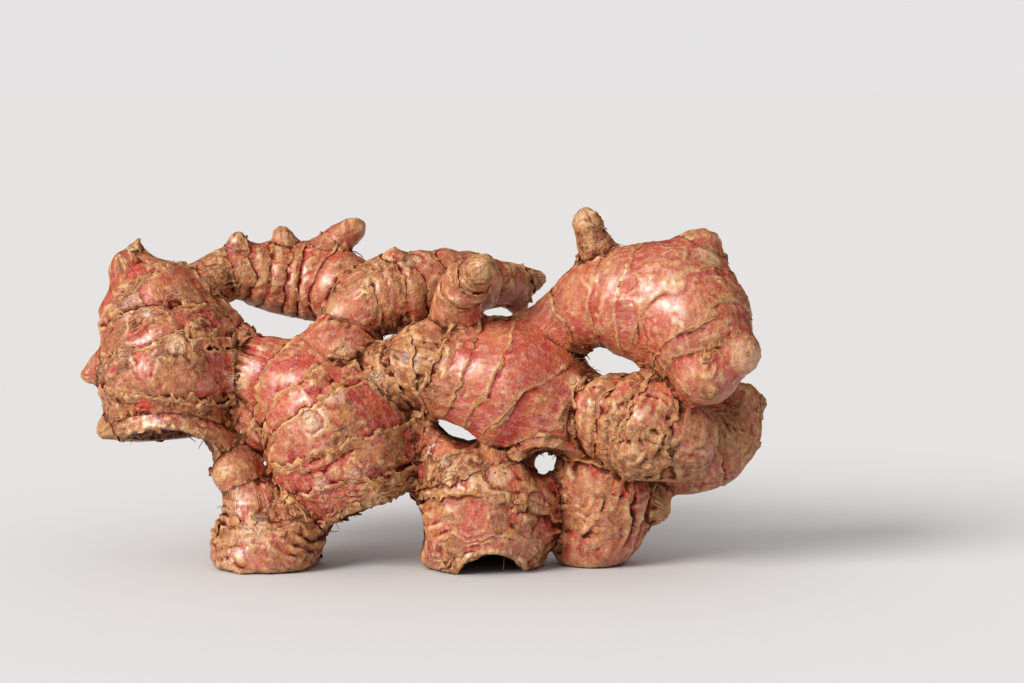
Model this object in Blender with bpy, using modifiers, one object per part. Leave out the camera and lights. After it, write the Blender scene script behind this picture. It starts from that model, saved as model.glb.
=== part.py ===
"""A hand of red ginger: one fleshy rhizome that branches into fingers, standing on three of its knobs.

The fingers are tapering tubes swept along curved axes. They are fused, broken ends are scooped out of them,
and the growth rings, swellings and bud scars are raised from the skin by a formula.
Run with: blender --background --python part.py
"""

import math

import bmesh
import bpy
import numpy as np
from mathutils import Vector, noise
from mathutils.bvhtree import BVHTree

MM = 0.001  # the tables below are in millimetres, and the scene is in metres

# Driving sizes, in millimetres
VOXEL = 0.9  # grain of the fused body before it is thinned out
SAMPLE = 0.5  # spacing of the points along a finger's axis
RING_SWELL = 1.0  # how far the skin swells between two growth rings
RING_SINK = 0.7  # how far the skin near a ring lies under the finger's tube
RING_RIDGE = 1.1  # height of the raised edge along each ring
RING_CREASE = 0.8  # depth of the crease beside that edge, on the side of the finger's tip
RING_WIDTH = 0.85  # half width of that raised edge
RING_WANDER = 0.9  # how far a ring strays from a true circle
WANDER_SIZE = 5.0  # over what distance it strays
LUMP_HEIGHT = 0.45  # uneven swelling of the flesh
LUMP_SIZE = 7.0
CORK_HEIGHT = 0.3  # wrinkles of the old corky skin
CORK_SIZE = 2.4
BUD_HEIGHT = 0.8  # rim of a bud scar
BLEND = 0.8  # over what distance one finger's relief gives way to the next one's
FAR = 100  # farther out than any of the skin
GROUND = (200, 120, 40)  # the block that the feet are cut off with
STANDING_POINT = (-0.1, 2.4, 1.2)  # the point of the tables below that becomes the origin

# Shares, counts and seeds
FILLET_PASSES = 5  # smoothing that rounds the creases where fingers meet
BUD_RIM = 0.5  # where a bud scar's rim is, as a share of its radius, and how wide
BUD_RIM_WIDTH = 0.35
BUD_REACH = 1.6
TRIANGLES = 11500
WANDER_SEED, LUMP_SEED, CORK_SEED = 3.1, 11.0, 23.0

# Each finger: points along its axis (x, y, z, radius), how deep it is against its width, its growth rings,
# how corky its skin is, and whether its first end is broken off square. A ring is a share of the finger's
# length and its lean in degrees, seen from the front. +X is to the right, +Y away from the viewer and +Z up.
FINGERS = {
    "middle_left": dict(
        axis=[(-9.5, -1, 12, 9.7), (-13, 0, 19.5, 13), (-16.5, 1, 26.5, 13.8), (-22, 3, 32, 11),
              (-28.5, 5, 35, 8)],
        depth=0.9, rings=((0.04, 0), (0.17, 10), (0.38, 5), (0.61, 8), (0.77, 12), (0.93, 0)),
        cork=0.3, broken=True),
    "middle_left_crown": dict(
        axis=[(-18, 2, 28.5, 10), (-16.5, 4, 36.5, 8.7), (-14.5, 7, 42.5, 6.8), (-13.5, 9, 45.5, 5)],
        depth=0.9, rings=((0.75, 0),), cork=0.2),
    "left": dict(
        axis=[(-45.3, 5, 23.3, 11), (-47, 6, 30.5, 14.8), (-46.8, 7, 37.5, 14.5), (-50, 9, 45, 12.6),
              (-52.3, 11, 50, 9.7), (-54.3, 12, 53.5, 4.8)],
        depth=0.85, rings=((0.1, 0), (0.27, 0), (0.45, -5), (0.62, 0), (0.78, -20), (0.92, -10)),
        cork=0.8, broken=True),
    "left_bridge": dict(
        axis=[(-38.5, 9, 45, 4), (-34, 7, 39, 5), (-32.5, 5, 31, 5), (-29.5, 3, 26, 4.2)],
        depth=1.0, rings=((0.3, 0), (0.7, 0)), cork=0.8),
    "upper_left_neck": dict(
        axis=[(-49.5, 10, 46, 8.8), (-44, 13, 49.4, 6), (-39, 15, 52.3, 4.7)],
        depth=1.0, rings=((0.7, 0),), cork=0.3),
    "upper_left": dict(
        axis=[(-39.5, 15, 52.8, 4.6), (-35, 17, 53.4, 5.2), (-28.5, 19, 52.4, 6.9), (-21, 19, 51.4, 7.4),
              (-14, 15, 49.5, 6.6), (-10, 10, 47, 5)],
        depth=1.0, rings=((0.06, 0), (0.17, 0), (0.28, 5), (0.4, 0), (0.5, -5), (0.66, 0), (0.82, 5)),
        cork=0.2),
    "upper_left_tooth_1": dict(
        axis=[(-35, 17, 56, 3.3), (-35.5, 17, 60.5, 1.3)], depth=1.0, rings=(), cork=0.1),
    "upper_left_tooth_2": dict(
        axis=[(-27, 19, 56, 4.2), (-27, 19, 61.5, 1.6)], depth=1.0, rings=(), cork=0.1),
    "upper_left_tooth_3": dict(
        axis=[(-20.5, 19, 54.5, 4.8), (-15.8, 20, 59.8, 3.2), (-13.3, 20, 61.3, 2.2)],
        depth=1.0, rings=((0.5, 0),), cork=0.2),
    "upper_middle": dict(
        axis=[(-13.5, 7, 46, 5.5), (-9, 9, 49, 7), (-3.5, 11, 50, 7.6), (2.5, 13, 51, 6.9),
              (8.5, 16, 51.5, 5.9), (14, 20, 51, 4.5), (16.5, 22, 50.5, 4)],
        depth=1.0, rings=((0.12, 15), (0.26, 0), (0.38, 0), (0.5, 0), (0.62, 5), (0.8, 0)), cork=0.2),
    "upper_middle_bud": dict(axis=[(-5.5, 9, 55, 3.5), (-5.5, 8, 57.5, 2)], depth=1.0, rings=(), cork=0.2),
    "far_tip": dict(axis=[(15.5, 22, 51, 4), (20.5, 24, 51.5, 2.3)], depth=1.0, rings=((0.5, 0),), cork=0.5),
    "far_tip_spur": dict(axis=[(16, 22, 49.5, 3.5), (17.5, 22, 46.5, 2.3)], depth=1.0, rings=(), cork=0.5),
    "centre_stub": dict(
        axis=[(6, -1, 47.5, 4.5), (7, -4, 52, 4.5), (9.5, -8, 55, 3.5), (11, -11, 56.5, 2.8)],
        depth=1.0, rings=((0.35, 0), (0.7, 0)), cork=0.7),
    "centre_neck": dict(
        axis=[(-7, 2, 34, 8), (-2.5, 1, 37, 6.5), (3, 0, 38, 8)],
        depth=1.0, rings=((0.3, 0), (0.7, 0)), cork=0.9),
    "centre": dict(
        axis=[(1.5, 0, 38, 8.5), (10.5, 0, 35, 11.8), (17.5, 0, 33.5, 12.7), (24, -1, 31.5, 10),
              (30, -1, 29.5, 7.2)],
        depth=0.95, rings=((0.02, 0), (0.17, 0), (0.29, 8), (0.62, 30), (0.91, -35)), cork=0.1),
    "centre_shoulder": dict(
        axis=[(5, 1, 44, 3.5), (14, 1, 41.5, 5.3), (22, 1, 45, 4.2)], depth=1.0, rings=(), cork=0.3),
    "right_arm": dict(
        axis=[(21, 1, 41.5, 6), (26.5, 0, 46, 6.6), (32, -2, 49.3, 8.5), (39, -5, 49.7, 10.7),
              (45.5, -8, 49, 11.5), (48.8, -12, 44.5, 10.1), (49.8, -15, 39.5, 8.5), (50, -16, 36.5, 5)],
        depth=0.95, rings=((0.12, 5), (0.26, 8), (0.36, -7), (0.5, 5), (0.72, 0), (0.87, -20)), cork=0.1),
    "right_arm_bud": dict(
        axis=[(52.5, -16, 43, 4.5), (57.5, -20, 43.5, 2.7)], depth=1.0, rings=((0.5, 0),), cork=0.1),
    "right_arm_scar": dict(
        axis=[(48, -6, 56.5, 6), (50.3, -7, 60, 3.2)], depth=1.0, rings=((0.6, 0),), cork=0.5),
    "right_arm_stub": dict(
        axis=[(32, -2, 56.8, 4.2), (30.5, -3, 61, 3.1), (29.4, -4, 64.2, 2.7)],
        depth=1.0, rings=((0.2, 0),), cork=0.9),
    "lower_right": dict(
        axis=[(29, -4, 30.5, 6.5), (34.5, -7, 29.5, 8), (40, -9, 27.5, 9.5), (44, -9, 25, 8)],
        depth=0.9, rings=((0.1, 0), (0.35, 0), (0.6, 0), (0.85, 0)), cork=1.0),
    "lower_right_nub": dict(axis=[(40, -8, 34, 3.7), (41.5, -8, 37, 2.8)], depth=1.0, rings=(), cork=0.7),
    "far_right": dict(
        axis=[(39.5, 2, 24, 6.5), (46, 5, 20.5, 7.4), (52.3, 7, 22, 8.3), (56, 8, 25.3, 7.2),
              (58.3, 8, 30, 4)],
        depth=0.9, rings=((0.3, 0), (0.55, 0), (0.8, 0)), cork=0.5),
    "far_right_spur": dict(axis=[(58, 8, 29.8, 3.2), (62.5, 8, 30, 1.3)], depth=1.0, rings=(), cork=0.6),
    "right_foot": dict(
        axis=[(30.5, 1, 26, 6), (31.7, 1, 19.5, 8), (33.4, 1, 14, 9), (32.5, 1, 8.5, 8), (30.6, 1, 3.5, 6.8),
              (30.3, 1, 0, 5.4)],
        depth=0.95, rings=((0.2, 20), (0.4, 25), (0.6, 20), (0.8, 10)), cork=0.9),
    "right_foot_bulge": dict(axis=[(37.5, 1, 14, 5.8), (42, 0, 12, 3.6)], depth=1.0, rings=(), cork=0.9),
    "middle_foot_neck": dict(
        axis=[(-1, 1, 27, 5), (2.3, 1, 21.5, 6), (7.5, 0, 18, 9.5)], depth=1.0, rings=((0.4, 0),), cork=0.8),
    "middle_foot": dict(
        axis=[(10.2, 0, 18.5, 10.7), (11.2, -1, 13.5, 12.9), (10.9, -1, 7.5, 13.5), (11.7, 0, 1.5, 11)],
        depth=0.8, rings=((0.12, 0), (0.3, 5), (0.45, 0), (0.6, -5), (0.76, 0), (0.9, 0)), cork=0.6),
    "left_foot": dict(
        axis=[(-30.5, -1, 11, 6.3), (-30, -1, 8.2, 9.8), (-28, -1, 4.5, 11.6), (-27, 0, 1.5, 8.5)],
        depth=0.8, rings=((0.2, 8), (0.4, 0), (0.6, -5), (0.8, 0)), cork=1.0),
    "left_foot_neck": dict(
        axis=[(-28.5, -1, 9.5, 5.5), (-22.5, -1, 12.5, 5), (-18, 0, 17, 7.5)],
        depth=1.0, rings=((0.5, 0),), cork=1.0),
    "nut": dict(
        axis=[(-36.5, 3, 24, 4.5), (-34, 2, 20.5, 3.7), (-34, 1, 18, 4.8), (-33.5, 1, 15.5, 3.7)],
        depth=1.0, rings=((0.25, 0),), cork=0.8),
    "left_nub": dict(axis=[(-58.5, 6, 36.5, 3.7), (-62, 5, 35.5, 1.7)], depth=1.0, rings=(), cork=0.8),
    "left_heel": dict(axis=[(-54, 5, 28, 3.8), (-57.5, 4, 26, 2)], depth=1.0, rings=(), cork=0.8),
}

# Hollows that broken fingers left, and the slit over the middle foot: centre, half sizes, and the turns
# about +Y and +Z in degrees
HOLLOWS = {
    "under_left": ((-45.5, -2, 21), (8.5, 13, 6), (0, 0)),
    "under_middle_left": ((-7.5, -2, 8), (9, 10, 7), (0, 0)),
    "under_centre": ((22.5, -3, 18.5), (4.5, 5, 4.5), (0, 0)),
    "under_middle_foot": ((9.5, -4, 1.2), (5.2, 12, 3.6), (0, 15)),
    "over_middle_foot": ((6.2, 0, 25.8), (5.2, 20, 1.7), (28, 0)),
}

# Round bud scars on the front and on the back: x, z and radius
FRONT_BUDS = [(-14.5, 41.4, 1.8), (-15.6, 33.7, 2.2), (-8.7, 35.8, 1.8), (-19.5, 29, 1.8), (-18.3, 17.7, 1.8),
              (-12.3, 19.7, 1.6), (13.9, 19.2, 2.2), (20.5, 13.8, 1.8), (-33.5, 35.5, 2.6), (-1.8, 56.5, 1.8),
              (44.5, 54.5, 2.2), (-44, 42, 2), (27, 36, 1.7), (46, 40, 2), (-50, 30, 2)]
BACK_BUDS = [(-46, 33, 2.4), (-51, 46, 2), (-30, 52, 1.8), (-16, 33, 2.4), (-12, 21, 2), (14, 36, 2.4),
             (22, 30, 1.8), (34, 50, 2.2), (44, 48, 2), (12, 12, 2.2), (52, 23, 2), (4, 50, 1.8), (-27, 5, 2)]


def clear_scene():
    for obj in list(bpy.data.objects):
        bpy.data.objects.remove(obj, do_unlink=True)


def new_collection(name):
    collection = bpy.data.collections.new(name)
    bpy.context.scene.collection.children.link(collection)
    return collection


def smooth_line(points):
    """A Catmull-Rom curve through hand-placed points (x, y, z, radius), sampled about every SAMPLE."""
    points = np.array(points, float)
    ends = np.vstack([2 * points[0] - points[1], points, 2 * points[-1] - points[-2]])
    line = []
    for before, start, end, after in zip(ends, ends[1:], ends[2:], ends[3:]):
        steps = max(2, int(np.linalg.norm(end[:3] - start[:3]) / SAMPLE))
        t = np.arange(steps)[:, None] / steps
        line.append(0.5 * (2 * start + (end - before) * t
                           + (2 * before - 5 * start + 4 * end - after) * t ** 2
                           + (3 * start - before - 3 * end + after) * t ** 3))
    return np.vstack([*line, points[-1:]])


def finger_tube(name, line, depth):
    """A round tube of changing radius along the line, squeezed to its depth along Y."""
    curve = bpy.data.curves.new(name, "CURVE")
    curve.dimensions = "3D"
    curve.bevel_depth = MM
    curve.bevel_resolution = 6
    curve.use_fill_caps = True
    spline = curve.splines.new("POLY")
    spline.points.add(len(line) - 1)
    for point, (x, y, z, radius) in zip(spline.points, line):
        point.co = (x * MM, y / depth * MM, z * MM, 1)
        point.radius = radius
    obj = bpy.data.objects.new(name, curve)
    obj.scale.y = depth
    bpy.context.scene.collection.objects.link(obj)
    return obj


def add_tube(body, tube):
    """Adds the tube's evaluated mesh, in world space, to the body's bmesh, and removes the tube."""
    bpy.context.view_layer.update()
    graph = bpy.context.evaluated_depsgraph_get()
    mesh = bpy.data.meshes.new_from_object(tube.evaluated_get(graph))
    mesh.transform(tube.matrix_world)
    body.from_mesh(mesh)
    bpy.data.meshes.remove(mesh)
    bpy.data.objects.remove(tube)


def add_round_end(body, point, depth):
    """A ball that rounds off a tube's end."""
    x, y, z, radius = point
    made = bmesh.ops.create_icosphere(body, subdivisions=3, radius=radius * MM)
    bmesh.ops.scale(body, vec=(1, depth, 1), verts=made["verts"])
    bmesh.ops.translate(body, vec=(x * MM, y * MM, z * MM), verts=made["verts"])


def mesh_object(name, bm, collection):
    mesh = bpy.data.meshes.new(name)
    bm.to_mesh(mesh)
    bm.free()
    obj = bpy.data.objects.new(name, mesh)
    collection.objects.link(obj)
    return obj


def apply_modifiers(obj):
    graph = bpy.context.evaluated_depsgraph_get()
    mesh = bpy.data.meshes.new_from_object(obj.evaluated_get(graph))
    obj.modifiers.clear()
    old, obj.data = obj.data, mesh
    bpy.data.meshes.remove(old)
    mesh.name = obj.name


def fuse(obj):
    """One skin round everything that overlaps, by a voxel remesh."""
    remesh = obj.modifiers.new("fuse", "REMESH")
    remesh.mode = "VOXEL"
    remesh.voxel_size = VOXEL * MM
    apply_modifiers(obj)


def hollow_cutters(collection):
    for name, (centre, half, turns) in HOLLOWS.items():
        bm = bmesh.new()
        bmesh.ops.create_uvsphere(bm, u_segments=24, v_segments=16, radius=MM)
        bmesh.ops.scale(bm, vec=half, verts=bm.verts)
        cutter = mesh_object(name, bm, collection)
        cutter.location = Vector(centre) * MM
        cutter.rotation_euler = (0, math.radians(turns[0]), math.radians(turns[1]))
        hide_helper(cutter)


def hide_helper(obj):
    obj.hide_render = True
    obj.display_type = "WIRE"


def scoop(obj, cutters):
    cut = obj.modifiers.new("broken ends", "BOOLEAN")
    cut.operation = "DIFFERENCE"
    cut.operand_type = "COLLECTION"
    cut.collection = cutters
    bpy.context.view_layer.update()
    apply_modifiers(obj)


def soften(obj):
    smooth = obj.modifiers.new("fillets", "SMOOTH")
    smooth.factor = 0.5
    smooth.iterations = FILLET_PASSES
    apply_modifiers(obj)


def finger_coordinates(points, line, depth):
    """For each point, in mm: how far it is outside this finger's tube, how far along the finger it lies, and
    how far it is to the left of the axis, seen from the front and looking along the finger."""
    axis = line[:, :3] / (1, depth, 1)
    along = np.concatenate([[0], np.cumsum(np.linalg.norm(np.diff(axis, axis=0), axis=1))])
    local = points / (1, depth, 1)
    gap = np.linalg.norm(local[:, None, :] - axis[None, :, :], axis=2)
    nearest = gap.argmin(axis=1)
    heading = np.gradient(axis, axis=0)[nearest]
    away = local - axis[nearest]
    left = (away[:, 2] * heading[:, 0] - away[:, 0] * heading[:, 2]) / np.hypot(heading[:, 0], heading[:, 2])
    return gap[np.arange(len(points)), nearest] - line[nearest, 3], along[nearest], left


def ring_relief(along, left, length, rings, wander):
    """Height of the skin along a finger: it swells between its growth rings, and each has a raised edge."""
    if not rings:
        return np.zeros(len(along))
    at = np.array(rings)[:, 0] * length
    lean = np.tan(np.radians(np.array(rings)[:, 1]))
    past = (along + wander)[:, None] - at - left[:, None] * lean
    behind = np.where(past > 0, past, length).min(axis=1)
    ahead = np.where(past < 0, -past, length).min(axis=1)
    share = behind / (behind + ahead)
    swell = RING_SWELL * (4 * share * (1 - share)) ** 0.5
    ridge = RING_RIDGE * np.exp(-(past / RING_WIDTH) ** 2).max(axis=1)
    crease = RING_CREASE * np.exp(-((past - 2 * RING_WIDTH) / RING_WIDTH) ** 2).max(axis=1)
    return swell + ridge - crease - RING_SINK


def noise_field(points, size, seed):
    """Smooth noise between -1 and 1. The seed moves it, so that two fields don't repeat each other."""
    shift = Vector((seed, 1.7 * seed, 2.3 * seed))
    return np.array([noise.noise(Vector(p) / size + shift) for p in points])


def bud_relief(obj, points):
    """Height of the bud scars: low domes with a raised rim, where a line along Y first meets the skin."""
    skin = BVHTree.FromObject(obj, bpy.context.evaluated_depsgraph_get())
    height = np.zeros(len(points))
    for buds, side in ((FRONT_BUDS, -1), (BACK_BUDS, 1)):
        for x, z, radius in buds:
            hit = skin.ray_cast(Vector((x, side * FAR, z)) * MM, Vector((0, -side, 0)))[0]
            share = np.linalg.norm(points - np.array(hit) / MM, axis=1) / radius
            rim = BUD_HEIGHT * np.exp(-((share - BUD_RIM) / BUD_RIM_WIDTH) ** 2)
            height = np.maximum(height, np.where(share < BUD_REACH, rim, 0))
    return height


def raise_relief(obj, lines):
    """Raises rings, lumps and wrinkles from the fused skin, along its normals."""
    mesh = obj.data
    points = np.empty(len(mesh.vertices) * 3, np.float32)
    normals = np.empty_like(points)
    mesh.vertices.foreach_get("co", points)
    mesh.vertices.foreach_get("normal", normals)
    points = points.reshape(-1, 3).astype(float) / MM
    normals = normals.reshape(-1, 3).astype(float)
    wander = RING_WANDER * noise_field(points, WANDER_SIZE, WANDER_SEED)
    outside, relief, cork = [], [], []
    for name, finger in FINGERS.items():
        gap, along, left = finger_coordinates(points, lines[name], finger["depth"])
        outside.append(gap)
        relief.append(ring_relief(along, left, along.max(), finger["rings"], wander))
        cork.append(np.full(len(points), finger["cork"]))
    outside, relief, cork = np.array(outside), np.array(relief), np.array(cork)
    weight = np.exp(-(outside - outside.min(axis=0)) / BLEND)
    weight /= weight.sum(axis=0)
    height = (weight * relief).sum(axis=0)
    height += LUMP_HEIGHT * noise_field(points, LUMP_SIZE, LUMP_SEED)
    height += CORK_HEIGHT * (weight * cork).sum(axis=0) * noise_field(points, CORK_SIZE, CORK_SEED)
    height += bud_relief(obj, points)
    moved = (points + normals * height[:, None] - STANDING_POINT) * MM
    mesh.vertices.foreach_set("co", moved.astype(np.float32).ravel())
    mesh.update()


def thin_out(obj):
    thin = obj.modifiers.new("thin out", "DECIMATE")
    thin.ratio = TRIANGLES / (2 * len(obj.data.polygons))


def stand_flat(obj, cutters):
    """Cuts the feet off level, at the surface that the rhizome stands on. EXACT can keep the wrong side."""
    bm = bmesh.new()
    bmesh.ops.create_cube(bm, size=MM)
    bmesh.ops.scale(bm, vec=GROUND, verts=bm.verts)
    ground = mesh_object("ground", bm, cutters)
    ground.location.z = -GROUND[2] / 2 * MM
    hide_helper(ground)
    cut = obj.modifiers.new("flat feet", "BOOLEAN")
    cut.operation = "DIFFERENCE"
    cut.solver = "MANIFOLD"
    cut.object = ground


def skin_material():
    material = bpy.data.materials.new("ginger_skin")
    material.use_nodes = True
    shader = material.node_tree.nodes["Principled BSDF"]
    shader.inputs["Base Color"].default_value = (0.52, 0.19, 0.11, 1)
    shader.inputs["Roughness"].default_value = 0.42
    shader.inputs["Metallic"].default_value = 0
    return material


def build_rhizome():
    cutters = new_collection("cutters")
    model = new_collection("red_ginger")
    lines = {name: smooth_line(finger["axis"]) for name, finger in FINGERS.items()}
    body = bmesh.new()
    for name, finger in FINGERS.items():
        add_tube(body, finger_tube(name, lines[name], finger["depth"]))
        if not finger.get("broken"):
            add_round_end(body, lines[name][0], finger["depth"])
        add_round_end(body, lines[name][-1], finger["depth"])
    rhizome = mesh_object("rhizome", body, model)
    fuse(rhizome)
    hollow_cutters(cutters)
    scoop(rhizome, cutters)
    fuse(rhizome)
    soften(rhizome)
    raise_relief(rhizome, lines)
    thin_out(rhizome)
    stand_flat(rhizome, cutters)
    rhizome.data.materials.append(skin_material())
    return rhizome


clear_scene()
build_rhizome()
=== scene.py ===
"""The looks of a hand of red ginger, in a studio: glossy pink skin, corky rings, bud scars and broken ends.

The fingers are swept along the same axes as the solid's, fused, and given the fine relief of the real skin.
Papery ring scales, curled flakes and root hairs are meshes of their own.
"""

import math

import bmesh
import bpy
import numpy as np
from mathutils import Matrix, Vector, noise
from mathutils.bvhtree import BVHTree


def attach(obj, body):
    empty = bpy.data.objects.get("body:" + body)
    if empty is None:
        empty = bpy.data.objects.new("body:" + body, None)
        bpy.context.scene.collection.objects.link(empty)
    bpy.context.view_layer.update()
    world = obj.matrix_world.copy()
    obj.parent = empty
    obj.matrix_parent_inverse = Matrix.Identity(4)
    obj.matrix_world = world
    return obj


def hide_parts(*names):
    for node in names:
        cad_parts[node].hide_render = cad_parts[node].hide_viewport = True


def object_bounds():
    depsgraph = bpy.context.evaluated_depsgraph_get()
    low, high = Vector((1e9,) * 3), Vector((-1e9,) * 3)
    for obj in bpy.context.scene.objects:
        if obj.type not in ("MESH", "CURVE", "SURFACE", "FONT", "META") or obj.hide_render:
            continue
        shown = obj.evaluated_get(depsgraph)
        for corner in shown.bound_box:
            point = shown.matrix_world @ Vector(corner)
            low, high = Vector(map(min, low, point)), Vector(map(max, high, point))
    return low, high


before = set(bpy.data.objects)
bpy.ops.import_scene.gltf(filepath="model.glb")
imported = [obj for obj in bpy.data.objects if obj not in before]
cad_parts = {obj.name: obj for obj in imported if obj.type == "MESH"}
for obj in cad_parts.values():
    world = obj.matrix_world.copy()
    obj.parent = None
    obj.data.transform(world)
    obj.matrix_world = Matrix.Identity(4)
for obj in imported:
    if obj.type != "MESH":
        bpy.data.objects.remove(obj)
cad_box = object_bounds()

MM = 0.001  # the tables below are in millimetres, and the scene is in metres

# Sizes that the solid has too, in millimetres
RING_SWELL = 1.0  # how far the skin swells between two growth rings
RING_SINK = 0.7  # how far the skin near a ring lies under the finger's tube
RING_WANDER = 0.9  # how far a ring strays from a true circle
WANDER_SIZE = 5.0
LUMP_HEIGHT = 0.45  # uneven swelling of the flesh
LUMP_SIZE = 7.0
WANDER_SEED, LUMP_SEED = 3.1, 11.0
STANDING_POINT = (-0.1, 2.4, 1.2)  # the point of the tables below that becomes the origin

# The skin's mesh
VOXEL = 0.9  # grain of the fused body before it is divided
SAMPLE = 1.0  # spacing of the points along a finger's axis
FILLET_PASSES = 5  # smoothing that rounds the creases where fingers meet
DIVISIONS = 2
SKIN_TRIANGLES = 198000
REACH = 5.0  # how far outside its tube a finger still shapes the skin
BLEND = 0.6  # over what distance one finger's relief gives way to the next one's
JUNCTION_WIDTH = 1.6  # how wide the cork is where two fingers meet
FLOW_STEP = 40  # keeps the fingers' flow coordinates apart
FIELDS = ("cork", "wrinkles", "wrinkled", "height", "cord", "band", "behind")  # see finger_fields
FAR = 100  # farther out than any of the skin
SLACK = 0.4  # how far a piece may stand past the solid's box
# How often the skin is smoothed to find its small and its large creases
SMOOTHINGS = ((25, 125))

# Fine relief of the skin, in millimetres
RIM_HEIGHT = 0.6  # the skin rises to a ring from the older side
RIM_RISE = 1.3
CREASE_DEPTH = 0.42  # and drops behind it, under the ring's edge
CREASE_LENGTH = 0.7
CORD_HEIGHT = 0.2  # the thin raised line along a ring
CORD_WIDTH = 0.32
STREAK_HEIGHT = 0.06  # fibres along a finger
SCALE_STEP = 0.3  # how finely the papery edge of a ring is drawn
PAPER_ROWS = ((-0.6, -0.1), (-0.3, -0.01), (-0.05, 0.05))  # past the ring, and above the skin
PAPER_GAPS = 0.4  # how often the edge of a smooth ring has no paper
PAPER_MISS = 2.2  # how far the skin may be from a finger's tube and still be its own
PAPER_THICKNESS = 0.08
FOLD_HEIGHT = 0.55  # folds round a corky finger, and how long and how wide they are
FOLD_LENGTH = 9.0
FOLD_WIDTH = 2.8
RIDGE_HEIGHT = 0.1  # sharp edges of crumpled cork
FLAKE_STEP = 0.2  # thickness of a layer of peeling cork
CRUST_HEIGHT = 0.14  # thickness of the dry film, which is left in patches on the smooth fingers
WRINKLE_HEIGHT = 0.7  # overlapping wrinkles round a foot
JAG = 0.9  # how far a corky ring's torn edge strays, and over what distance
JAG_SIZE = 2.4
PATCH_SIZE = 6.5  # grain of the patches where cork is crumpled, with calmer skin between them
RIM_LAYER = 0.5  # torn layers round a hollow's rim, and the space between them
RIM_SPACE = 1.7

PUFF = 0.5  # how much of the solid's swelling between rings shows, where a finger's own puff doesn't say

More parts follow.
